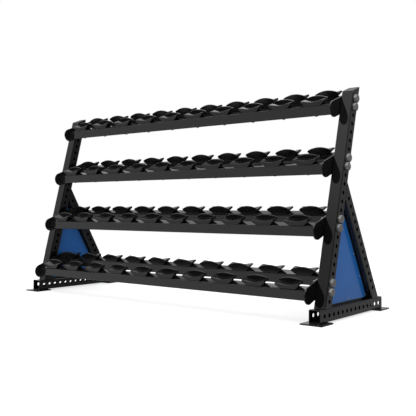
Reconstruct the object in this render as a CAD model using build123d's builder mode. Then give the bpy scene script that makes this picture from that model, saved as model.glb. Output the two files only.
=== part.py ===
from build123d import *
from math import cos, radians, sin, tan
import os

# Four-tier dumbbell rack with moulded saddles, in millimetres.
# Origin: on the floor, under the middle of the rack. +X to the right seen from the front,
# +Y towards the back, +Z up.

# Side frames
rack_width = 2400.0  # between the outer faces of the two side frames
tube_size = 70.0
tube_wall = 3.0
tube_corner = 4.0  # flat across each long edge
base_length = 740.0
foot_width = 132.0
foot_length = 125.0
foot_thickness = 8.0
foot_overhang = 42.0  # how far a foot plate reaches past the end of its base tube

# Punched holes, drawn like the bolts with a few flat sides each
hole_pitch = 50.0
round_sides = 8
base_hole_margin = 45.0  # least distance from the end of a base tube to the middle of a hole

# Uprights lean back, braces lean forward; both stand on the base tube
upright_lean = 15.0
upright_inset = 86.0  # from the base tube's front end to the upright's axis, along its top
upright_first_hole = 37.5  # along the axis, from the base tube to the lowest hole
upright_hole_count = 24
upright_head = 56.0  # along the axis, from the top hole to the sloping cut
brace_lean = 30.0
brace_inset = 87.0  # from the base tube's rear end to the brace's axis, along its top
brace_first_hole = 74.0
brace_head = 30.0  # least distance from the middle of a hole to the mitred end

# Filler panels in the side frames, each on a ledge of flat bar
panel_thickness = 3.0
panel_gap = 10.0  # between the sheet and the tubes around it
panel_corner = 12.0
ledge_reach = 30.0  # in from the tubes
ledge_thickness = 4.0

# Tiers
tier_count = 4
tier_holes = 7  # upright holes from one tier to the next
shelf_tilt = 20.0
plate_thickness = 8.0
plate_radius = 46.0
plate_sides = 20  # flats round a full turn of the plate's ends
plate_front_reach = 116.0  # from the bolts' midpoint to the centre of the front round
rail_depth = 60.0
rail_height = 60.0
rail_wall = 3.0
rail_corner = 4.0
rail_setback = 1.0  # from the centre of the front round to the front rail's face
rail_drop = 33.0  # from the end plate's centre line down to the rails' undersides
rail_spread = 245.0  # over both rails, front face to rear face
rail_overrun = 6.0  # from the centre of the rear round back to the rear rail's face

# Saddles
saddle_count = 10
saddle_margin = 127.5  # from an end plate to the middle of the nearest saddle
saddle_base = 92.0
saddle_span = 143.0  # between the wing tips
saddle_depth = 54.0
saddle_height = 31.0  # wing tips above the rail
saddle_lip = 8.0  # height of the blunt edge along each wing tip
saddle_sag = 9.0  # cradle's lowest line below the wing tips
saddle_arch = 17.0  # crown of the end wall above the wing tips
saddle_wall = 6.0
saddle_steps = 4  # flats across the cradle and across the end wall's crown

# Bolts that hold the end plates to the uprights
bolt_diameter = 20.0  # between opposite flat sides
bolt_clearance = 1.0  # all round, in the tubes and the end plates
bolt_head_size = 41.0  # across flats
bolt_head_height = 16.0
nut_size = 30.0
nut_height = 16.0
nut_clearance = 0.3

hole_size = bolt_diameter + 2 * bolt_clearance
half_tube = tube_size / 2
frame_x = rack_width / 2 - half_tube
inner_x = rack_width / 2 - tube_size
rail_length = 2 * (inner_x - plate_thickness)
base_top = foot_thickness + tube_size
base_floor = Plane.XY.offset(base_top)

lean = radians(upright_lean)
brace_angle = radians(brace_lean)
tilt = radians(shelf_tilt)
shelf_back = Vector(0, cos(tilt), sin(tilt))
shelf_up = Vector(0, -sin(tilt), cos(tilt))
upright_axis = Vector(0, sin(lean), cos(lean))
brace_axis = Vector(0, -sin(brace_angle), cos(brace_angle))
upright_top_hole = upright_first_hole + (upright_hole_count - 1) * hole_pitch
upright_length = upright_top_hole + upright_head
upright_foot_y = upright_inset - base_length / 2  # where its axis meets the base tube's top
upright_rear_y = upright_foot_y + half_tube / cos(lean)
brace_foot_y = base_length / 2 - brace_inset
brace_front_y = brace_foot_y - half_tube / cos(brace_angle)
mitre = lean + brace_angle
brace_reach = (brace_foot_y - upright_foot_y) / sin(mitre)
brace_short_side = brace_reach - half_tube / sin(mitre) - half_tube / tan(mitre)
base_hole_count = int((base_length - 2 * base_hole_margin) / hole_pitch) + 1
brace_hole_count = int((brace_short_side - brace_head - brace_first_hole) / hole_pitch) + 1

sides = {"left": -1, "right": 1}
saddle_pitch = (rail_length - 2 * saddle_margin) / (saddle_count - 1)
saddle_places = [saddle_pitch * (i - (saddle_count - 1) / 2) for i in range(saddle_count)]

os.makedirs("parts", exist_ok=True)


def save(piece, label):
    piece.part.label = label
    export_step(piece.part, f"parts/{label}.step")


def tube_profile(width, height, corner, wall):
    outline = Rectangle(width, height)
    chamfer(outline.vertices(), corner)
    Rectangle(width - 2 * wall, height - 2 * wall, mode=Mode.SUBTRACT)


def round_outline(diameter, sides=round_sides, mode=Mode.ADD):
    """A many-sided outline round a circle, with a flat at its top and bottom."""
    RegularPolygon(diameter / 2, sides, major_radius=False, rotation=180 / sides, mode=mode)


def hole_row(foot, axis, places):
    """Outlines of holes in a tube's side walls, at places along its axis from its foot."""
    with BuildSketch(Plane(origin=foot, x_dir=axis, z_dir=(1, 0, 0))) as row:
        with Locations(*[(place, 0) for place in places]):
            round_outline(hole_size)
    return row.sketch


def tier_point(tier, back=0.0, up=0.0):
    """A point in a tier's slanting frame, from the middle of its pair of bolts."""
    along = upright_top_hole - hole_pitch / 2 - tier * tier_holes * hole_pitch
    bolts_middle = Vector(0, upright_foot_y, base_top) + upright_axis * along
    return bolts_middle + shelf_back * back + shelf_up * up


def tier_plane(tier, x):
    """Plane across the rack: its X runs back along the shelf and its Y up from it."""
    return Plane(origin=tier_point(tier) + Vector(x, 0, 0), x_dir=shelf_back, z_dir=(1, 0, 0))


rail_front = rail_setback - plate_front_reach
rail_rear = rail_front + rail_spread
plate_rear_reach = rail_rear - rail_overrun
rail_middle_up = rail_height / 2 - rail_drop
rail_top = rail_height - rail_drop

bolt_lean = lean + tilt
bolt_places = [
    (d * sin(bolt_lean), d * cos(bolt_lean)) for d in (-hole_pitch / 2, hole_pitch / 2)
]

# Side frames: base tube, upright and brace of each side
for side, sign in sides.items():
    x = sign * frame_x

    base_middle = Vector(x, 0, foot_thickness + half_tube)
    with BuildPart() as base_tube:
        with BuildSketch(Plane(origin=base_middle, x_dir=(1, 0, 0), z_dir=(0, 1, 0))):
            tube_profile(tube_size, tube_size, tube_corner, tube_wall)
        extrude(amount=base_length / 2, both=True)
        base_row = [hole_pitch * (i - (base_hole_count - 1) / 2) for i in range(base_hole_count)]
        holes = hole_row(base_middle, (0, 1, 0), base_row)
        extrude(holes, amount=half_tube, both=True, mode=Mode.SUBTRACT)
    save(base_tube, f"{side}_base_tube")

    upright_foot = Vector(x, upright_foot_y, base_top)
    upright_square = Plane(origin=upright_foot, x_dir=(1, 0, 0), z_dir=upright_axis)
    head_cut = Plane(
        origin=upright_foot + upright_axis * upright_length, x_dir=(1, 0, 0), z_dir=shelf_up
    )
    with BuildPart() as upright:
        with BuildSketch(upright_square.offset(-tube_size)):
            tube_profile(tube_size, tube_size, tube_corner, tube_wall)
        extrude(amount=upright_length + 2 * tube_size)
        split(bisect_by=base_floor, keep=Keep.TOP)
        split(bisect_by=head_cut, keep=Keep.BOTTOM)
        upright_row = [upright_first_hole + i * hole_pitch for i in range(upright_hole_count)]
        holes = hole_row(upright_foot, upright_axis, upright_row)
        extrude(holes, amount=half_tube, both=True, mode=Mode.SUBTRACT)
    save(upright, f"{side}_upright")

    brace_foot = Vector(x, brace_foot_y, base_top)
    brace_square = Plane(origin=brace_foot, x_dir=(1, 0, 0), z_dir=brace_axis)
    upright_rear = Plane(
        origin=(x, upright_rear_y, base_top), x_dir=(1, 0, 0), z_dir=(0, cos(lean), -sin(lean))
    )
    with BuildPart() as brace:
        with BuildSketch(brace_square.offset(-tube_size)):
            tube_profile(tube_size, tube_size, tube_corner, tube_wall)
        extrude(amount=brace_reach + 2 * tube_size)
        split(bisect_by=base_floor, keep=Keep.TOP)
        split(bisect_by=upright_rear, keep=Keep.TOP)
        brace_row = [brace_first_hole + i * hole_pitch for i in range(brace_hole_count)]
        holes = hole_row(brace_foot, brace_axis, brace_row)
        extrude(holes, amount=half_tube, both=True, mode=Mode.SUBTRACT)
    save(brace, f"{side}_rear_brace")

    foot_y = base_length / 2 + foot_overhang - foot_length / 2
    for end, y in {"front": -foot_y, "rear": foot_y}.items():
        with BuildPart() as foot_plate:
            with BuildSketch(Plane.XY):
                with Locations((x, y)):
                    Rectangle(foot_width, foot_length)
            extrude(amount=foot_thickness)
        save(foot_plate, f"{side}_{end}_foot_plate")

# Filler panels: a triangular sheet in each side frame, on a ledge that is welded to the tubes.
# Both frames are built alike, so both sheets lie on the right of their ledges.
gap_rise = (brace_front_y - upright_rear_y) / (tan(lean) + tan(brace_angle))
gap_corners = [
    (upright_rear_y, base_top),
    (brace_front_y, base_top),
    (upright_rear_y + gap_rise * tan(lean), base_top + gap_rise),
]

for side, sign in sides.items():
    middle = Plane(origin=(sign * frame_x, 0, 0), x_dir=(0, 1, 0), z_dir=(1, 0, 0))
    with BuildPart() as ledge:
        with BuildSketch(middle):
            Polygon(*gap_corners, align=None)
            offset(amount=-ledge_reach, kind=Kind.INTERSECTION, mode=Mode.SUBTRACT)
        extrude(amount=-ledge_thickness)
    save(ledge, f"{side}_panel_ledge")

    with BuildPart() as panel:
        with BuildSketch(middle) as outline:
            Polygon(*gap_corners, align=None)
            offset(amount=-panel_gap, kind=Kind.INTERSECTION, mode=Mode.REPLACE)
            chamfer(outline.vertices(), panel_corner)
        extrude(amount=panel_thickness)
    save(panel, f"{side}_side_panel")

# One saddle: its X runs along the rail, its Y from the open end towards the end wall
half_base = saddle_base / 2
half_span = saddle_span / 2
saddle_setback = rail_depth - saddle_depth  # leaves the end wall flush with the rail


def saddle_profile(plane, rise):
    """A saddle's section; its top bows up or down by the rise, midway between the wing tips."""
    shares = [2 * i / saddle_steps - 1 for i in range(saddle_steps + 1)]
    bow = [(half_span * s, saddle_height + rise * (1 - s**2)) for s in shares]
    wing_foot = saddle_height - saddle_lip
    left_wing = [(-half_base, 0), (-half_span, wing_foot)]
    right_wing = [(half_span, wing_foot), (half_base, 0)]
    with BuildSketch(plane) as section:
        with BuildLine():
            Polyline(*left_wing, *bow, *right_wing, close=True)
        make_face()
    return section.sketch


with BuildPart() as saddle:
    extrude(saddle_profile(Plane.XZ, -saddle_sag), amount=-saddle_depth)
    wall_face = Plane.XZ.offset(saddle_wall - saddle_depth)
    extrude(saddle_profile(wall_face, saddle_arch), amount=-saddle_wall)

# Tiers: two rails between end plates, each rail with its row of saddles
for tier in range(tier_count):
    name = f"tier_{tier + 1}"
    rail_ends = tier_plane(tier, -rail_length / 2)

    for place, back in {
        "front": rail_front + rail_depth / 2,
        "rear": rail_rear - rail_depth / 2,
    }.items():
        with BuildPart() as rail:
            with BuildSketch(rail_ends):
                with Locations((back, rail_middle_up)):
                    tube_profile(rail_depth, rail_height, rail_corner, rail_wall)
            extrude(amount=rail_length)
        save(rail, f"{name}_{place}_rail")

    for side, sign in sides.items():
        plate_x = sign * inner_x
        with BuildPart() as end_plate:
            with BuildSketch(tier_plane(tier, plate_x)):
                with Locations(((plate_rear_reach - plate_front_reach) / 2, 0)):
                    Rectangle(plate_front_reach + plate_rear_reach, 2 * plate_radius)
                with Locations((-plate_front_reach, 0), (plate_rear_reach, 0)):
                    round_outline(2 * plate_radius, plate_sides)
                with Locations(*bolt_places):
                    round_outline(hole_size, mode=Mode.SUBTRACT)
            extrude(amount=-sign * plate_thickness)
        save(end_plate, f"{name}_{side}_end_plate")

    for place, back, facing in (
        ("front", rail_front + saddle_setback, 1),
        ("rear", rail_rear - saddle_setback, -1),
    ):
        seat = Plane(
            origin=tier_point(tier, back, rail_top), x_dir=(facing, 0, 0), z_dir=shelf_up
        )
        with BuildPart() as saddle_row:
            with Locations(*[seat.location * Location((x, 0, 0)) for x in saddle_places]):
                add(saddle.part)
        save(saddle_row, f"{name}_{place}_saddles")

# Bolts through each upright and end plate, and the nuts behind the plates
for side, sign in sides.items():
    outer_x = sign * rack_width / 2
    shank_length = tube_size + plate_thickness + nut_height

    with BuildPart() as bolts:
        for tier in range(tier_count):
            with BuildSketch(tier_plane(tier, outer_x)):
                with Locations(*bolt_places):
                    RegularPolygon(bolt_head_size / 2, 6, major_radius=False)
            extrude(amount=sign * bolt_head_height)
            with BuildSketch(tier_plane(tier, outer_x)):
                with Locations(*bolt_places):
                    round_outline(bolt_diameter)
            extrude(amount=-sign * shank_length)
    save(bolts, f"{side}_bolts")

    with BuildPart() as nuts:
        for tier in range(tier_count):
            with BuildSketch(tier_plane(tier, sign * (inner_x - plate_thickness))):
                with Locations(*bolt_places):
                    RegularPolygon(nut_size / 2, 6, major_radius=False)
                    round_outline(bolt_diameter + 2 * nut_clearance, mode=Mode.SUBTRACT)
            extrude(amount=-sign * nut_height)
    save(nuts, f"{side}_nuts")
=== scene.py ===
from math import atan2, cos, pi, radians, sin, tan

import bmesh
import bpy
from mathutils import Matrix, Vector


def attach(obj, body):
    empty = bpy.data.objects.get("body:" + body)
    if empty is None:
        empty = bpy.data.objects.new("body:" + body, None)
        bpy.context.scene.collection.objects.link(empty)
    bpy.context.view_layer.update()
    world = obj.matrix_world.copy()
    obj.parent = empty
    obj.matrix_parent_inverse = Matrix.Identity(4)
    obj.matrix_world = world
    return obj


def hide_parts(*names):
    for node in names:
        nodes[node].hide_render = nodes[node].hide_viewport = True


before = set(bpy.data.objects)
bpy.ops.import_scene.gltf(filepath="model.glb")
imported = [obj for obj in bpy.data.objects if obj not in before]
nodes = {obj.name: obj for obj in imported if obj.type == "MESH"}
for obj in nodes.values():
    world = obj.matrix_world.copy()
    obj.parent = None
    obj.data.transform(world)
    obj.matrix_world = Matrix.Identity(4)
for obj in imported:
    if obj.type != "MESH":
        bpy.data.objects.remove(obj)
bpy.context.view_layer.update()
scene = bpy.context.scene


def row_from(first, pitch, count):
    return [first + pitch * i for i in range(count)]


def middle_row(pitch, count):
    return [pitch * (i - (count - 1) / 2) for i in range(count)]


# Side frames, in metres
MM = 0.001
RACK_WIDTH = 2400 * MM  # between the outer faces of the two side frames
TUBE = 70 * MM
TUBE_WALL = 3 * MM
TUBE_CORNER = 5 * MM
FOOT_PLATE = 8 * MM
BASE_LENGTH = 740 * MM
BASE_HOLE_COUNT = 14
LEAN = radians(15)
UPRIGHT_INSET = 86 * MM  # from the base tube's front end to the upright's axis, along its top
UPRIGHT_FIRST_HOLE = 37.5 * MM
UPRIGHT_HOLE_COUNT = 24
UPRIGHT_HEAD = 56 * MM  # along the axis, from the top hole to the sloping cut
BRACE_LEAN = radians(30)
BRACE_INSET = 87 * MM  # from the base tube's rear end to the brace's axis, along its top
BRACE_FIRST_HOLE = 74 * MM
BRACE_HOLE_COUNT = 13
HOLE_PITCH = 50 * MM
HOLE_RADIUS = 11 * MM
HOLE_RIM = 0.4 * MM
PANEL_THICKNESS = 3 * MM

OUTER_X = RACK_WIDTH / 2
FRAME_X = OUTER_X - TUBE / 2
INNER_X = OUTER_X - TUBE
BASE_TOP = FOOT_PLATE + TUBE
BASE_HALF = BASE_LENGTH / 2
BASE_HOLES = middle_row(HOLE_PITCH, BASE_HOLE_COUNT)
UPRIGHT_FOOT_Y = UPRIGHT_INSET - BASE_HALF
UPRIGHT_HOLES = row_from(UPRIGHT_FIRST_HOLE, HOLE_PITCH, UPRIGHT_HOLE_COUNT)
UPRIGHT_LENGTH = UPRIGHT_HOLES[-1] + UPRIGHT_HEAD
BRACE_FOOT_Y = BASE_HALF - BRACE_INSET
BRACE_HOLES = row_from(BRACE_FIRST_HOLE, HOLE_PITCH, BRACE_HOLE_COUNT)

# Tiers, with places back and up from the middle of a tier's pair of bolts
TIERS = range(4)
TIER_HOLES = 7  # upright holes from one tier to the next
TILT = radians(20)
PLATE = 8 * MM
PLATE_RADIUS = 46 * MM
PLATE_EDGE = 1.5 * MM
PLATE_STEPS = 32
PLATE_FRONT = -116 * MM  # centre of the front round
RAIL_DEPTH = 60 * MM
RAIL_HEIGHT = 60 * MM
RAIL_WALL = 3 * MM
RAIL_CORNER = 3.5 * MM
RAIL_SETBACK = 1 * MM  # from the centre of the front round to the front rail's face
RAIL_SPREAD = 245 * MM  # over both rails, front face to rear face
RAIL_OVERRUN = 6 * MM  # from the centre of the rear round back to the rear rail's face
RAIL_DROP = 33 * MM  # from the end plate's centre line down to the rails' undersides
SADDLE_COUNT = 10
SADDLE_MARGIN = 127.5 * MM  # from an end plate to the middle of the nearest saddle

TIER_PITCH = TIER_HOLES * HOLE_PITCH
TOP_BOLTS = (UPRIGHT_HOLES[-2] + UPRIGHT_HOLES[-1]) / 2
RAIL_FRONT = PLATE_FRONT + RAIL_SETBACK
RAIL_REAR = RAIL_FRONT + RAIL_SPREAD
RAIL_MIDDLES = {"front": RAIL_FRONT + RAIL_DEPTH / 2, "rear": RAIL_REAR - RAIL_DEPTH / 2}
RAIL_TOP = RAIL_HEIGHT - RAIL_DROP
RAIL_HALF_LENGTH = INNER_X - PLATE
PLATE_REAR = RAIL_REAR - RAIL_OVERRUN
SADDLE_PITCH = 2 * (RAIL_HALF_LENGTH - SADDLE_MARGIN) / (SADDLE_COUNT - 1)
SADDLE_PLACES = middle_row(SADDLE_PITCH, SADDLE_COUNT)

SIDES = {"left": -1, "right": 1}
ACROSS = Vector((1, 0, 0))
BACK = Vector((0, 1, 0))
UP = Vector((0, 0, 1))
SHELF_BACK = Vector((0, cos(TILT), sin(TILT)))
SHELF_UP = Vector((0, -sin(TILT), cos(TILT)))
UPRIGHT_AXIS = Vector((0, sin(LEAN), cos(LEAN)))
UPRIGHT_REAR = Vector((0, cos(LEAN), -sin(LEAN)))
BRACE_AXIS = Vector((0, -sin(BRACE_LEAN), cos(BRACE_LEAN)))
QUARTER_TURN = [pi / 6 * i for i in range(4)]
HALF_TURN = [pi / 6 * i for i in range(7)]


def upright_point(sign, along):
    """A point on the axis of an upright, or midway between the two where the sign is 0."""
    return Vector((sign * FRAME_X, UPRIGHT_FOOT_Y, BASE_TOP)) + UPRIGHT_AXIS * along


def tier_point(tier, x, back, up):
    """A point in a tier's slanting frame."""
    bolts = upright_point(0, TOP_BOLTS - tier * TIER_PITCH)
    return bolts + ACROSS * x + SHELF_BACK * back + SHELF_UP * up


def placed(origin, x_axis, z_axis):
    """Matrix that puts a piece at a point, with its X and Z along the given directions."""
    turned = Matrix((x_axis, z_axis.cross(x_axis), z_axis)).transposed().to_4x4()
    return Matrix.Translation(origin) @ turned


# Finishes
CLOUD_DETAIL = 4.0
CLOUD_BAND = (0.35, 0.65)
GLOSS_BAND = (0.3, 0.7)
WORN_BAND = (0.56, 0.68)
GRAIN_DETAIL = 3.0
GRAIN_DEPTH = 0.4 * MM


def new_material(name, **sockets):
    made = bpy.data.materials.new(name)
    made.use_nodes = True
    shader = made.node_tree.nodes["Principled BSDF"]
    for socket, value in sockets.items():
        shader.inputs[socket.replace("_", " ")].default_value = value
    return made, made.node_tree, shader


def add_node(tree, kind, links=(), **values):
    """A shader node with its input values set by name, and its inputs linked from other nodes."""
    made = tree.nodes.new(kind)
    for key, value in values.items():
        made.inputs[key.replace("_", " ")].default_value = value
    for key, source in dict(links).items():
        tree.links.new(source, made.inputs[key])
    return made


def math_node(tree, operation, *inputs):
    made = tree.nodes.new("ShaderNodeMath")
    made.operation = operation
    for socket, value in zip(made.inputs, inputs):
        if isinstance(value, (int, float)):
            socket.default_value = value
        else:
            tree.links.new(value, socket)
    return made.outputs[0]


def ramp(tree, source, band, *colours):
    """A blend from one colour to another while the source crosses a band."""
    made = add_node(tree, "ShaderNodeValToRGB", {"Fac": source})
    for element, place, colour in zip(made.color_ramp.elements, band, colours):
        element.position = place
        element.color = (*colour, 1)
    return made.outputs["Color"]


def grey(value):
    return (value, value, value)


def coated(name, dark, light, edge, patch_scale, grain_scale, grain, roughness, **sockets):
    """A finish with cloudy colour, an uneven gloss, fine grain in its surface and paler edges."""
    made, tree, shader = new_material(name, **sockets)
    place = tree.nodes.new("ShaderNodeTexCoord").outputs["Object"]
    clouds = add_node(
        tree, "ShaderNodeTexNoise", {"Vector": place}, Scale=patch_scale, Detail=CLOUD_DETAIL
    ).outputs["Fac"]
    rim = tree.nodes.new("ShaderNodeNewGeometry").outputs["Pointiness"]
    mix = tree.nodes.new("ShaderNodeMix")
    mix.data_type = "RGBA"
    tree.links.new(ramp(tree, rim, WORN_BAND, grey(0), grey(1)), mix.inputs["Factor"])
    tree.links.new(ramp(tree, clouds, CLOUD_BAND, dark, light), mix.inputs["A"])
    mix.inputs["B"].default_value = (*edge, 1)
    tree.links.new(mix.outputs["Result"], shader.inputs["Base Color"])
    gloss = ramp(tree, clouds, GLOSS_BAND, *(grey(value) for value in roughness))
    tree.links.new(gloss, shader.inputs["Roughness"])
    fine = add_node(
        tree, "ShaderNodeTexNoise", {"Vector": place}, Scale=grain_scale, Detail=GRAIN_DETAIL
    ).outputs["Fac"]
    bump = add_node(tree, "ShaderNodeBump", {"Height": fine}, Strength=grain, Distance=GRAIN_DEPTH)
    tree.links.new(bump.outputs["Normal"], shader.inputs["Normal"])
    return made


black_coat = coated(
    "black_powder_coat",
    dark=grey(0.0035), light=grey(0.0058), edge=grey(0.016),
    patch_scale=5.0, grain_scale=700.0, grain=0.03, roughness=(0.05, 0.09),
)
# Inside of the tubes: rough, with its reflection turned far down (Specular IOR Level), which paints
# shade into the tubes and their holes.
tube_inside = coated(
    "tube_inside_rough_painted_shade",
    dark=grey(0.0030), light=grey(0.0060), edge=grey(0.008),
    patch_scale=30.0, grain_scale=500.0, grain=0.15, roughness=(0.65, 0.80),
    Specular_IOR_Level=0.08,
)
blue_paint = coated(
    "blue_panel_paint",
    dark=(0.008, 0.092, 0.322), light=(0.010, 0.105, 0.355), edge=(0.02, 0.15, 0.45),
    patch_scale=4.0, grain_scale=600.0, grain=0.05, roughness=(0.12, 0.17),
)
saddle_plastic = coated(
    "saddle_moulded_plastic",
    dark=grey(0.0030), light=grey(0.0050), edge=grey(0.010),
    patch_scale=12.0, grain_scale=1400.0, grain=0.10, roughness=(0.20, 0.27),
)
# Flanks under the saddles' wings and their base: matt, with the reflection turned far down (Specular
# IOR Level), which paints shade under the wings.
saddle_underside = coated(
    "saddle_underside_matt_painted_shade",
    dark=grey(0.0030), light=grey(0.0050), edge=grey(0.006),
    patch_scale=12.0, grain_scale=900.0, grain=0.20, roughness=(0.60, 0.75),
    Specular_IOR_Level=0.10,
)
zinc_plate = coated(
    "fastener_zinc_plate",
    dark=grey(0.35), light=grey(0.43), edge=grey(0.50),
    patch_scale=60.0, grain_scale=900.0, grain=0.08, roughness=(0.56, 0.66), Metallic=1.0,
)


def finish_of(label):
    """The material of a piece, and the slot that it belongs to."""
    if label.endswith(("saddles", "cap")):
        return saddle_plastic, "saddle"
    if label.endswith("side_panel"):
        return blue_paint, "panel"
    if label.endswith(("bolts", "nuts", "screws")):
        return zinc_plate, "fastener"
    return black_coat, "frame"


# Edges
PLATE_SOFTNESS = 1.2 * MM
PANEL_SOFTNESS = 0.6 * MM
SADDLE_SOFTNESS = 0.4 * MM
SOFT_STEPS = 2
SHARP = radians(28)
WELD_GAP = 0.02 * MM


def soften(piece, width):
    """Round the sharp edges of a piece a little."""
    weld = piece.modifiers.new("join_faces", "WELD")
    weld.merge_threshold = WELD_GAP
    bevel = piece.modifiers.new("soft_edges", "BEVEL")
    bevel.width = width
    bevel.segments = SOFT_STEPS
    bevel.limit_method = "ANGLE"
    bevel.angle_limit = SHARP
    bevel.use_clamp_overlap = True
    bevel.harden_normals = True


for label, node in nodes.items():
    node.data.materials.clear()
    node.data.materials.append(finish_of(label)[0])
    if label.endswith(("foot_plate", "panel_ledge")):
        soften(node, PLATE_SOFTNESS)
    if label.endswith("side_panel"):
        soften(node, PANEL_SOFTNESS)


# Pieces
POINT_GAP = 0.001 * MM


def add_piece(label, finish, mesh_maker, *sizes, replaced=None):
    """A piece on the rack's one body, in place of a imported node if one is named."""
    shape = bmesh.new()
    mesh_maker(shape, *sizes)
    bmesh.ops.remove_doubles(shape, verts=shape.verts, dist=POINT_GAP)
    bmesh.ops.recalc_face_normals(shape, faces=shape.faces)
    data = bpy.data.meshes.new(label)
    shape.to_mesh(data)
    shape.free()
    piece = bpy.data.objects.new(label, data)
    scene.collection.objects.link(piece)
    material, slot_name = finish
    data.materials.append(material)
    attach(piece, "root")
    if replaced:
        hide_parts(replaced)
    return piece


def smooth_copy(label, mesh_maker, *sizes):
    """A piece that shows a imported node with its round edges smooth."""
    return add_piece(f"{label}_smooth", finish_of(label), mesh_maker, *sizes, replaced=label)


def smooth_tube(label, mesh_maker, *sizes):
    """A smooth copy of a tube, with a second material for its inside, whose turned-down reflection
    paints shade into the tube.
    """
    smooth_copy(label, mesh_maker, *sizes).data.materials.append(tube_inside)


def add_faces(shape, low, high, smooth, closed=True):
    """Faces between two rows of points."""
    count = len(low) if closed else len(low) - 1
    for i in range(count):
        j = (i + 1) % len(low)
        corners = [shape.verts.new(p) for p in (low[i], low[j], high[j], high[i])]
        shape.faces.new(corners).smooth = smooth


def add_cap(shape, points):
    return shape.faces.new([shape.verts.new(point) for point in points])


def add_skin(shape, rows, smooth=True, closed=True):
    for low, high in zip(rows, rows[1:]):
        add_faces(shape, low, high, smooth, closed)


def add_rings(shape, rings, smooth=True):
    """A closed skin over a stack of rings of points, with a face over each end."""
    add_skin(shape, rings, smooth)
    add_cap(shape, rings[0])
    add_cap(shape, rings[-1])


ROUND_SIDES = 24


def add_turned(shape, place, profile):
    """A round body about Z, from its radii and heights."""
    angles = [2 * pi * i / ROUND_SIDES for i in range(ROUND_SIDES)]
    add_rings(shape, [
        [place @ Vector((radius * cos(a), radius * sin(a), height)) for a in angles]
        for radius, height in profile
    ])


# Tubes with round corners and round punched holes
CORNER_STEPS = 6
CELL_STEPS = 4
DIGITS = 9
TINY = 1e-9
NEARLY = 0.999


def rounded_outline(half_x, half_y, radius):
    points = []
    for quarter, (sx, sy) in enumerate(((1, 1), (-1, 1), (-1, -1), (1, -1))):
        for i in range(CORNER_STEPS + 1):
            angle = pi / 2 * (quarter + i / CORNER_STEPS)
            points.append((
                sx * (half_x - radius) + radius * cos(angle),
                sy * (half_y - radius) + radius * sin(angle),
            ))
    return points


def hole_cell(half_width):
    """Directions from the middle of a hole, and where they meet the edge of its part of the wall."""
    corner = atan2(half_width, HOLE_PITCH / 2)
    quarter = [corner * i / CELL_STEPS for i in range(CELL_STEPS)]
    quarter += [corner + (pi / 2 - corner) * i / CELL_STEPS for i in range(CELL_STEPS)]
    half = quarter + [pi / 2] + [pi - a for a in reversed(quarter[1:])]
    directions = [(cos(a), sin(a)) for a in half + [a + pi for a in half]]
    border = []
    for along, across in directions:
        reach = min(
            HOLE_PITCH / 2 / max(abs(along), TINY), half_width / max(abs(across), TINY)
        )
        border.append((along * reach, across * reach))
    return directions, border


def add_tube_skin(shape, outline, rings, open_sides):
    """The faces along a tube, without its side walls where those are open."""
    count = len(outline)
    for low, high in zip(rings, rings[1:]):
        for i in range(count):
            j = (i + 1) % count
            side_wall = abs(outline[i][0] - outline[j][0]) < TINY
            if side_wall and open_sides:
                continue
            smooth = i % (CORNER_STEPS + 1) != CORNER_STEPS
            add_faces(shape, [low[i], low[j]], [high[i], high[j]], smooth, closed=False)


def add_tube(shape, place, half_x, half_y, radius, wall, low_end, high_end, holes=()):
    """Local Z along the tube; the ends give Z for a Y; holes go through the walls across X."""
    flat = half_y - radius
    directions, border = hole_cell(flat)
    steps = {round(a, DIGITS) for a, b in border if abs(b) > NEARLY * flat}
    edge = sorted({round(b, DIGITS) for a, b in border if a > NEARLY * HOLE_PITCH / 2})
    levels = sorted({round(hole + step, DIGITS) for hole in holes for step in steps})
    punched = (-1, 1) if holes else ()

    def point(x, y, z):
        return place @ Vector((x, y, z))

    def hole_ring(x, hole, rim):
        return [point(x, b * rim, hole + a * rim) for a, b in directions]

    end_rings = []
    for inset, rim in ((0.0, HOLE_RADIUS + HOLE_RIM), (wall, HOLE_RADIUS)):
        skin_start = len(shape.faces)
        outline = rounded_outline(half_x - inset, half_y - inset, radius - inset)
        rings = [[point(x, y, low_end(y)) for x, y in outline]]
        rings += [[point(x, y, z) for x, y in outline] for z in levels]
        rings.append([point(x, y, high_end(y)) for x, y in outline])
        end_rings.append((rings[0], rings[-1]))
        add_tube_skin(shape, outline, rings, bool(punched))
        for sign in punched:
            x = sign * (half_x - inset)
            for hole in holes:
                cell = [point(x, b, hole + a) for a, b in border]
                add_faces(shape, cell, hole_ring(x, hole, rim), False)
            for z, end in ((levels[0], low_end), (levels[-1], high_end)):
                add_cap(shape, [point(x, y, z) for y in edge] + [
                    point(x, flat, end(flat)), point(x, -flat, end(-flat))
                ])
    bore = (
        (half_x - wall, HOLE_RADIUS), (half_x - HOLE_RIM, HOLE_RADIUS),
        (half_x, HOLE_RADIUS + HOLE_RIM),
    )
    for hole in holes:
        for sign in punched:
            add_skin(shape, [hole_ring(sign * x, hole, rim) for x, rim in bore])
    # The inside and the hole walls take the second material, which paints shade into the tube.
    shape.faces.ensure_lookup_table()
    for face in shape.faces[skin_start:]:
        face.material_index = 1
    for outer, inner in zip(*end_rings):
        add_faces(shape, outer, inner, False)


def cut_by(foot, axis, plane_point, plane_normal):
    """Where a cutting plane meets a tube: its Z for a local Y."""
    slope = plane_normal.dot(axis.cross(ACROSS)) / plane_normal.dot(axis)
    middle = plane_normal.dot(plane_point - foot) / plane_normal.dot(axis)
    return lambda y: middle - slope * y


def add_square_tube(shape, foot, axis, low_plane, high_plane, holes):
    """A tube of the side frames, cut by a plane at each end."""
    ends = [cut_by(foot, axis, *plane) for plane in (low_plane, high_plane)]
    place = placed(foot, ACROSS, axis)
    add_tube(shape, place, TUBE / 2, TUBE / 2, TUBE_CORNER, TUBE_WALL, *ends, holes)


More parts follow.
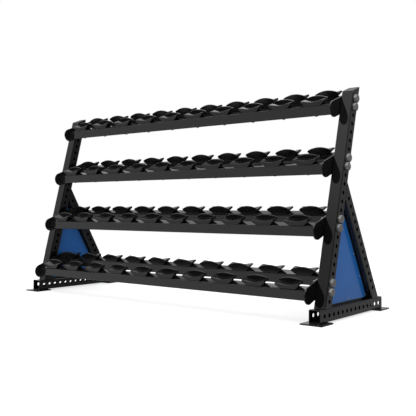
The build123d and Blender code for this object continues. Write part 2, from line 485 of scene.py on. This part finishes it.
for side, sign in SIDES.items():
    middle = Vector((sign * FRAME_X, 0, BASE_TOP - TUBE / 2))
    front, rear = [(middle + BACK * end, BACK) for end in (-BASE_HALF, BASE_HALF)]
    smooth_tube(f"{side}_base_tube", add_square_tube, middle, BACK, front, rear, BASE_HOLES)

    foot = upright_point(sign, 0)
    low, high = (foot, UP), (upright_point(sign, UPRIGHT_LENGTH), SHELF_UP)
    smooth_tube(f"{side}_upright", add_square_tube, foot, UPRIGHT_AXIS, low, high, UPRIGHT_HOLES)

    mitre = (foot + UPRIGHT_REAR * (TUBE / 2), UPRIGHT_REAR)
    foot = Vector((sign * FRAME_X, BRACE_FOOT_Y, BASE_TOP))
    smooth_tube(
        f"{side}_rear_brace", add_square_tube, foot, BRACE_AXIS, (foot, UP), mitre, BRACE_HOLES
    )


# Caps on the uprights: each ring's inset from the tube's outline and height above its cut, in mm
CAP_SECTION = (
    (0, 0.1), (0, 4.4), (0.5, 5.5), (1.6, 6.0), (8.0, 6.0), (9.2, 5.2), (9.8, 3.0),
)
CAP_LEAST_CORNER = 1 * MM


def add_upright_cap(shape, sign):
    rings = []
    for inset, height in CAP_SECTION:
        middle = upright_point(sign, UPRIGHT_LENGTH + height * MM)
        half = TUBE / 2 - inset * MM
        corner = max(TUBE_CORNER - inset * MM, CAP_LEAST_CORNER)
        place = placed(middle, ACROSS, SHELF_UP)
        rings.append([
            place @ Vector((x, y / cos(LEAN + TILT), 0))
            for x, y in rounded_outline(half, half, corner)
        ])
    add_rings(shape, rings, smooth=False)


for side, sign in SIDES.items():
    add_piece(f"{side}_upright_cap", finish_of("cap"), add_upright_cap, sign)


# Rails
def add_rail(shape, tier, back):
    middle = tier_point(tier, 0, back, RAIL_TOP - RAIL_HEIGHT / 2)
    add_tube(
        shape, placed(middle, SHELF_BACK, ACROSS), RAIL_DEPTH / 2, RAIL_HEIGHT / 2, RAIL_CORNER,
        RAIL_WALL, lambda y: -RAIL_HALF_LENGTH, lambda y: RAIL_HALF_LENGTH,
    )


for tier in TIERS:
    for end, back in RAIL_MIDDLES.items():
        smooth_tube(f"tier_{tier + 1}_{end}_rail", add_rail, tier, back)


# End plates
def obround(tier, x, radius):
    points = []
    for centre, start in ((PLATE_FRONT, pi / 2), (PLATE_REAR, -pi / 2)):
        for i in range(PLATE_STEPS + 1):
            angle = start + pi * i / PLATE_STEPS
            points.append(tier_point(tier, x, centre + radius * cos(angle), radius * sin(angle)))
    return points


def add_end_plate(shape, tier, sign):
    """A plate with rounded edges, from its outer face in."""
    section = [(PLATE_EDGE * (1 - cos(a)), PLATE_EDGE * (1 - sin(a))) for a in QUARTER_TURN]
    section += [(PLATE - depth, inset) for depth, inset in reversed(section)]
    add_rings(shape, [
        obround(tier, sign * (INNER_X - depth), PLATE_RADIUS - inset) for depth, inset in section
    ])


for tier in TIERS:
    for side, sign in SIDES.items():
        smooth_copy(f"tier_{tier + 1}_{side}_end_plate", add_end_plate, tier, sign)


# Saddles
SADDLE_BASE = 46 * MM  # half of the width on the rail
SADDLE_TIP = 75 * MM  # half of the width between the wing tips
SADDLE_DEPTH = 54 * MM
SADDLE_SETBACK = 6 * MM  # from the rail's outer face
SADDLE_HEIGHT = 31 * MM  # wing tips above the rail
SADDLE_LIP = 10 * MM  # height of the blunt edge along each wing tip
SADDLE_SAG = 9 * MM  # cradle's lowest line below the wing tips
SADDLE_ARCH = 17 * MM  # crown of the end wall above the wing tips
SADDLE_WALL = 6 * MM
SADDLE_LEAN = 4 * MM  # how much further in the end wall reaches at its crown
SADDLE_RIM = 6 * MM
SADDLE_CREST = 2.5 * MM
SADDLE_STEPS = 28


def saddle_rows():
    """Rows across the top of a saddle: rounded rim, cradle, end wall and the wall's crest."""
    columns = []
    for i in range(SADDLE_STEPS + 1):
        share = 2 * i / SADDLE_STEPS - 1
        hump = 1 - share * share
        dip = SADDLE_SAG * (1 + cos(pi * share)) / 2
        wall = SADDLE_WALL + SADDLE_LEAN * hump
        column = [
            (SADDLE_RIM * (1 - cos(a)), -dip - SADDLE_RIM * (1 - sin(a))) for a in QUARTER_TURN
        ]
        column.append((SADDLE_DEPTH - SADDLE_WALL, -dip))
        for a in HALF_TURN:
            crest = (SADDLE_ARCH - SADDLE_CREST * (1 - sin(a))) * hump
            column.append((SADDLE_DEPTH - wall * (1 + cos(a)) / 2, crest))
        columns.append([Vector((SADDLE_TIP * share, y, SADDLE_HEIGHT + z)) for y, z in column])
    return [list(row) for row in zip(*columns)]


def add_saddle(shape, place):
    """X along the rail, Y from the open end to the end wall, Z up."""
    rows = [[place @ point for point in row] for row in saddle_rows()]
    add_skin(shape, rows, closed=False)
    wing = SADDLE_HEIGHT - SADDLE_LIP
    outline = ((SADDLE_TIP, wing), (SADDLE_BASE, 0), (-SADDLE_BASE, 0), (-SADDLE_TIP, wing))
    front, rear = [
        [place @ Vector((x, y, z)) for x, z in outline] for y in (0, SADDLE_DEPTH)
    ]
    add_cap(shape, rows[0] + front)
    add_cap(shape, rows[-1] + rear)
    for tip, foot in ((-1, 0), (0, -1)):
        add_cap(shape, [row[tip] for row in rows] + [rear[foot], front[foot]])
    # The faces under the wings take the second material, which paints shade there.
    for i in range(len(outline) - 1):
        underside = (front[i], front[i + 1], rear[i + 1], rear[i])
        add_cap(shape, underside).material_index = 1


def add_saddle_row(shape, tier, back, facing):
    for x in SADDLE_PLACES:
        add_saddle(shape, placed(tier_point(tier, x, back, RAIL_TOP), ACROSS * facing, SHELF_UP))


for tier in TIERS:
    for end, back, facing in (
        ("front", RAIL_FRONT + SADDLE_SETBACK, 1), ("rear", RAIL_REAR - SADDLE_SETBACK, -1)
    ):
        saddles = smooth_copy(
            f"tier_{tier + 1}_{end}_saddles", add_saddle_row, tier, back, facing
        )
        # Second material: the one that paints shade under the wings.
        saddles.data.materials.append(saddle_underside)
        soften(saddles, SADDLE_SOFTNESS)


# Hex bodies
HEX_SIDES = 48
CHAMFER_DEPTH = 0.062  # of the width across flats
CHAMFER_RADIUS = 0.47  # of the width, where the chamfer meets the end face
CHAMFER_SLOPE = tan(pi / 3)
CHAMFER_SHARES = (0, 0.25, 0.5, 0.75, 1)


def add_hex(shape, place, across, height, low_chamfer, high_chamfer):
    """A hex body with its corners turned off at one or both ends."""
    depth = CHAMFER_DEPTH * across
    levels = [(depth * s, low_chamfer) for s in CHAMFER_SHARES]
    levels += [(height - depth * (1 - s), high_chamfer) for s in CHAMFER_SHARES]
    rings = []
    for z, chamfer in levels:
        turned = across
        if chamfer:
            turned = CHAMFER_RADIUS * across + min(z, height - z) * CHAMFER_SLOPE
        ring = []
        for i in range(HEX_SIDES):
            angle = 2 * pi * i / HEX_SIDES
            flat = across / 2 / cos((angle + pi / 6) % (pi / 3) - pi / 6)
            reach = min(flat, turned)
            ring.append(place @ Vector((reach * cos(angle), reach * sin(angle), z)))
        rings.append(ring)
    add_rings(shape, rings, smooth=False)


# Bolts and nuts
BOLT_HEAD = 41 * MM
BOLT_HEAD_HEIGHT = 16 * MM
BOLT_RADIUS = 10 * MM
BOLT_END = 16 * MM  # past the nut
NUT = 30 * MM
NUT_HEIGHT = 16 * MM
THREAD_TURNS = 8
THREAD_RIDGE = ((0.90, 0.4), (0.97, 0.9))  # root and crest, of the radius and of the pitch
TIP_RADIUS = 0.80  # of the shank's radius
TIP_LENGTH = 0.1 * BOLT_RADIUS
BOLT_POINTS = [
    tier_point(tier, 0, 0, 0) + UPRIGHT_AXIS * step
    for tier in TIERS for step in (-HOLE_PITCH / 2, HOLE_PITCH / 2)
]


def add_shank(shape, place):
    """A bolt's shank with ridges at its end, and a chamfer at its tip."""
    plain = TUBE + PLATE
    threaded = NUT_HEIGHT + BOLT_END
    pitch = threaded / THREAD_TURNS
    profile = [(BOLT_RADIUS, 0), (BOLT_RADIUS, plain)]
    for start in row_from(plain, pitch, THREAD_TURNS):
        profile += [(share * BOLT_RADIUS, start + along * pitch) for share, along in THREAD_RIDGE]
    profile.append((TIP_RADIUS * BOLT_RADIUS, plain + threaded + TIP_LENGTH))
    add_turned(shape, place, profile)


def add_bolts(shape, sign):
    for point in BOLT_POINTS:
        seat = point + ACROSS * (sign * OUTER_X)
        out, into = [placed(seat, SHELF_BACK, ACROSS * turn) for turn in (sign, -sign)]
        add_hex(shape, out, BOLT_HEAD, BOLT_HEAD_HEIGHT, False, True)
        add_shank(shape, into)


def add_nuts(shape, sign):
    for point in BOLT_POINTS:
        seat = point + ACROSS * (sign * (INNER_X - PLATE))
        add_hex(shape, placed(seat, SHELF_BACK, ACROSS * -sign), NUT, NUT_HEIGHT, True, True)


for side, sign in SIDES.items():
    smooth_copy(f"{side}_bolts", add_bolts, sign)
    smooth_copy(f"{side}_nuts", add_nuts, sign)


# Screws under the saddles
SADDLE_SCREW = 15 * MM  # across flats
SADDLE_SCREW_HEIGHT = 8.4 * MM
FLANGE_RADIUS = 10.5 * MM
FLANGE_SHARE = 0.28  # of the head's height
FLANGE_TOP = 0.86  # of the flange's radius


def add_flange_screw(shape, place):
    """A flanged hex head that stands on a face."""
    thick = FLANGE_SHARE * SADDLE_SCREW_HEIGHT
    add_turned(shape, place, (
        (FLANGE_RADIUS, 0), (FLANGE_RADIUS, thick / 2), (FLANGE_TOP * FLANGE_RADIUS, thick),
    ))
    head = place @ Matrix.Translation((0, 0, thick))
    add_hex(shape, head, SADDLE_SCREW, SADDLE_SCREW_HEIGHT - thick, False, True)


def add_screw_row(shape, tier, middle):
    for x in SADDLE_PLACES:
        under = tier_point(tier, x, middle, RAIL_TOP - RAIL_HEIGHT)
        add_flange_screw(shape, placed(under, ACROSS, -SHELF_UP))


for tier in TIERS:
    for end, middle in RAIL_MIDDLES.items():
        label = f"tier_{tier + 1}_{end}_saddle_screws"
        add_piece(label, finish_of("screws"), add_screw_row, tier, middle)


# Screws on the panels
PANEL_SCREW_RADIUS = 6 * MM
PANEL_SCREW_HEIGHT = 3.4 * MM
DOME_TURN = (0, 0.35, 0.7, 1.0)
SOCKET = ((0.40, 0.86), (0.36, 0.40))  # rim and floor, of the head's radius and of its height
PANEL_SCREW_REACH = 19 * MM  # in from the tubes
BASE_SCREW_Y = -2 * MM
UPRIGHT_SCREWS = (40 * MM, 202 * MM, 365 * MM)  # up along the tube's face
BRACE_SCREWS = (36 * MM, 169 * MM, 320 * MM)
PANEL_SCREWS = (
    (UPRIGHT_FOOT_Y + TUBE / 2 / cos(LEAN), UPRIGHT_AXIS, 1, UPRIGHT_SCREWS),
    (BRACE_FOOT_Y - TUBE / 2 / cos(BRACE_LEAN), BRACE_AXIS, -1, BRACE_SCREWS),
)


def add_button_screw(shape, place):
    """A domed head with a socket in its top."""
    shares = [(cos(a), sin(a)) for a in DOME_TURN]
    shares += SOCKET
    add_turned(shape, place, [(PANEL_SCREW_RADIUS * r, PANEL_SCREW_HEIGHT * h) for r, h in shares])


def add_panel_screws(shape, sign):
    face_x = sign * FRAME_X + PANEL_THICKNESS
    points = [Vector((face_x, BASE_SCREW_Y, BASE_TOP + PANEL_SCREW_REACH))]
    for face_y, axis, inward, places in PANEL_SCREWS:
        into = Vector((0, inward * axis.z, -inward * axis.y)) * PANEL_SCREW_REACH
        points += [Vector((face_x, face_y, BASE_TOP)) + into + axis * along for along in places]
    for point in points:
        add_button_screw(shape, placed(point, BACK, ACROSS))


for side, sign in SIDES.items():
    add_piece(f"{side}_panel_screws", finish_of("screws"), add_panel_screws, sign)


# Floor
FLOOR_RADIUS = 5.0
FLOOR_SIDES = 96
FLOOR_GREY = 0.7
FLOOR_ROUGHNESS = 0.9
FLOOR_WHITE = 0.6  # added where the camera sees it


def floor_finish():
    """A pale matt floor that takes shadows and lets mirrored rays through."""
    made, tree, shader = new_material(
        "floor_white", Base_Color=(*grey(FLOOR_GREY), 1), Roughness=FLOOR_ROUGHNESS,
        Specular_IOR_Level=0.0,
    )
    light_path = tree.nodes.new("ShaderNodeLightPath").outputs
    strength = math_node(tree, "MULTIPLY", light_path["Is Camera Ray"], FLOOR_WHITE)
    white = add_node(tree, "ShaderNodeEmission", {"Strength": strength})
    clear = tree.nodes.new("ShaderNodeBsdfTransparent")
    both = add_node(tree, "ShaderNodeAddShader", {0: shader.outputs[0], 1: white.outputs[0]})
    mirrored = add_node(tree, "ShaderNodeMixShader", {
        0: light_path["Is Glossy Ray"], 1: both.outputs[0], 2: clear.outputs[0]
    })
    tree.links.new(mirrored.outputs[0], tree.nodes["Material Output"].inputs["Surface"])
    return made


def add_floor():
    shape = bmesh.new()
    bmesh.ops.create_circle(shape, cap_ends=True, segments=FLOOR_SIDES, radius=FLOOR_RADIUS)
    data = bpy.data.meshes.new("floor")
    shape.to_mesh(data)
    shape.free()
    data.materials.append(floor_finish())
    floor = bpy.data.objects.new("floor", data)
    scene.collection.objects.link(floor)


# Surroundings: white, though the finishes mirror a studio whose light changes with direction
HORIZON_LIGHT = 0.37
HORIZON_FALL = (-0.33, 0.087, 0.0)  # how the light changes along X, Y and Z
FLOOR_GLOW = 0.07
FLOOR_GLOW_BAND = (0.07, 0.15)  # depths below the horizon over which it sets in
GROUND_LIGHT = 0.62
GROUND_BAND = (0.15, 0.40)  # depths
GROUND_FALL = -0.5
GROUND_FADE = (-0.3, 0.5)  # from front to back
OVERHEAD_LIGHT = 0.55
OVERHEAD_BAND = (0.36, 0.56)  # heights
OVERHEAD_FADE = (0.45, -0.2)  # from back to front
REAR_LIGHT = 2.0
REAR_BAND = (0.57, 0.67)  # heights
REAR_FADE = (0.42, 0.56)  # from front to back
ZENITH_LIGHT = 2.0
ZENITH_BAND = (0.72, 0.92)  # heights


def soft_step(tree, value, band, top=1.0):
    """Nothing up to the start of a band, rising smoothly to the top at its end."""
    low, high = band
    made = add_node(
        tree, "ShaderNodeMapRange", {"Value": value}, From_Min=low, From_Max=high, To_Max=top
    )
    made.interpolation_type = "SMOOTHSTEP"
    return made.outputs["Result"]


def studio_light(tree):
    """Brightness of the studio in each direction."""
    direction = tree.nodes.new("ShaderNodeTexCoord").outputs["Generated"]
    parts = add_node(tree, "ShaderNodeSeparateXYZ", {"Vector": direction}).outputs
    back, height = parts["Y"], parts["Z"]
    depth = math_node(tree, "MULTIPLY", height, -1.0)
    around = tree.nodes.new("ShaderNodeVectorMath")
    around.operation = "DOT_PRODUCT"
    tree.links.new(direction, around.inputs[0])
    around.inputs[1].default_value = HORIZON_FALL
    horizon = math_node(tree, "ADD", around.outputs["Value"], HORIZON_LIGHT)
    glow = soft_step(tree, depth, FLOOR_GLOW_BAND, FLOOR_GLOW)
    horizon = math_node(tree, "ADD", horizon, glow)
    ground = soft_step(tree, back, GROUND_FADE, GROUND_FALL)
    ground = math_node(tree, "ADD", ground, GROUND_LIGHT)
    to_ground = math_node(tree, "SUBTRACT", ground, horizon)
    below = soft_step(tree, depth, GROUND_BAND)
    studio = math_node(tree, "MULTIPLY_ADD", below, to_ground, horizon)
    for light, band, fade in (
        (OVERHEAD_LIGHT, OVERHEAD_BAND, OVERHEAD_FADE), (REAR_LIGHT, REAR_BAND, REAR_FADE)
    ):
        lit = soft_step(tree, height, band, light)
        lit = math_node(tree, "MULTIPLY", lit, soft_step(tree, back, fade))
        studio = math_node(tree, "ADD", studio, lit)
    return math_node(tree, "ADD", studio, soft_step(tree, height, ZENITH_BAND, ZENITH_LIGHT))


def light_surroundings():
    world = bpy.data.worlds.new("studio")
    world.use_nodes = True
    tree = world.node_tree
    glossy = tree.nodes.new("ShaderNodeLightPath").outputs["Is Glossy Ray"]
    darker = math_node(tree, "SUBTRACT", studio_light(tree), 1.0)
    level = math_node(tree, "MULTIPLY_ADD", glossy, darker, 1.0)
    background = tree.nodes["Background"]
    background.inputs["Color"].default_value = (1, 1, 1, 1)
    tree.links.new(level, background.inputs["Strength"])
    scene.world = world


# Camera: in front of the rack and to its right, in metres, and its lens in millimetres
CAMERA_PLACE = (2.9579, -3.4866, 0.6171)
CAMERA_TILT = -0.002
CAMERA_TURN = 0.677
CAMERA_SENSOR = 36.0
CAMERA_LENS = 59.04
CAMERA_REACH = 200.0


def add_camera():
    data = bpy.data.cameras.new("camera")
    data.sensor_width = CAMERA_SENSOR
    data.lens = CAMERA_LENS
    data.clip_end = CAMERA_REACH
    camera = bpy.data.objects.new("camera", data)
    camera.location = CAMERA_PLACE
    camera.rotation_euler = (pi / 2 + CAMERA_TILT, 0, CAMERA_TURN)
    scene.collection.objects.link(camera)
    scene.camera = camera


add_floor()
light_surroundings()
add_camera()
scene.view_settings.view_transform = "Standard"
